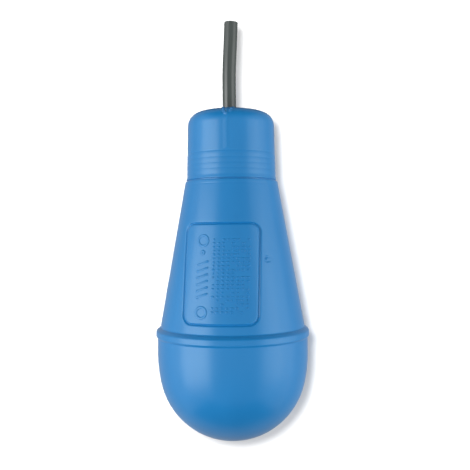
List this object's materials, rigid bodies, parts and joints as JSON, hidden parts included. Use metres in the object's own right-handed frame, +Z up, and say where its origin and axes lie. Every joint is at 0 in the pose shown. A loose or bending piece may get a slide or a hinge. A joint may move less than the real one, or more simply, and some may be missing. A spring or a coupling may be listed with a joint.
{
  "type": "cable float switch",
  "caption": "Pear-shaped float that hangs from its cable and tilts with the liquid, so that a ball inside works a sealed snap switch.",
  "frame": {"origin": "middle of the neck cap's crown, where the cable leaves the float", "axes": "+Z up along the cable, body below; the moulded panel faces -Y; +X to the right of it"},
  "size_m": [0.09, 0.09, 0.2465],
  "materials": {
    "shell_blue": "semi-matt moulded polypropylene",
    "sealant": "set sealing compound",
    "cable_sheath": "smooth grey sheath",
    "insulation_brown": "core insulation",
    "insulation_black": "core insulation",
    "insulation_blue": "core insulation",
    "copper": "bare copper strands",
    "seal_rubber": "moulded rubber",
    "inner_plastic": "moulded nylon",
    "screw_steel": "zinc plated",
    "ballast_iron": "as cast",
    "foam": "closed-cell foam",
    "ball_steel": "ground bearing ball",
    "switch_plastic": "moulded thermoset",
    "lever_steel": "spring steel",
    "contact_brass": "pressed brass"
  },
  "bodies": {
    "housing": {"neck_cap": "shell_blue", "upper_shell": "shell_blue", "lower_shell": "shell_blue", "sealant_bead": "sealant", "cable_sheath": "cable_sheath", "core_brown": "insulation_brown", "core_black": "insulation_black", "core_blue": "insulation_blue", "conductor_brown": "copper", "conductor_black": "copper", "conductor_blue": "copper", "cable_seal": "seal_rubber", "capsule_gasket": "seal_rubber", "core_grommet": "seal_rubber", "pressure_ring": "inner_plastic", "cable_clamp": "inner_plastic", "capsule_body": "inner_plastic", "capsule_lid": "inner_plastic", "clamp_screws": "screw_steel", "capsule_screws": "screw_steel", "switch_screws": "screw_steel", "lever_pin": "screw_steel", "ballast_ring": "ballast_iron", "foam_collar": "foam", "foam_base": "foam", "switch_case": "switch_plastic", "switch_cover": "switch_plastic", "terminal_common": "contact_brass", "terminal_open": "contact_brass", "terminal_closed": "contact_brass", "wire_receptacles": "contact_brass"},
    "ball": {"steel_ball": "ball_steel"},
    "lever": {"switch_lever": "lever_steel"},
    "plunger": {"switch_plunger": "switch_plastic"},
    "contact_blade": {"snap_blade": "contact_brass"}
  },
  "joints": [
    {"name": "ball_slide", "type": "slide", "parent": "housing", "child": "ball", "axis": [0, 0, 1], "range_m": [0, 0.004]},
    {"name": "lever_swing", "type": "hinge", "parent": "housing", "child": "lever", "pos_m": [-0.0124, 0, -0.098], "axis": [0, -1, 0], "range_deg": [0, 16.4]},
    {"name": "plunger_press", "type": "slide", "parent": "housing", "child": "plunger", "axis": [0, 0, 1], "range_m": [0, 0.00152]},
    {"name": "blade_swing", "type": "hinge", "parent": "housing", "child": "contact_blade", "pos_m": [0.008, 0, -0.09025], "axis": [0, 1, 0], "range_deg": [0, 5.9]}
  ],
  "couplings": [
    {"joint": "lever_swing", "follows": "ball_slide", "rad_per_m": 71.424},
    {"joint": "plunger_press", "follows": "ball_slide", "ratio": 0.37789},
    {"joint": "blade_swing", "follows": "ball_slide", "rad_per_m": 25.193}
  ]
}
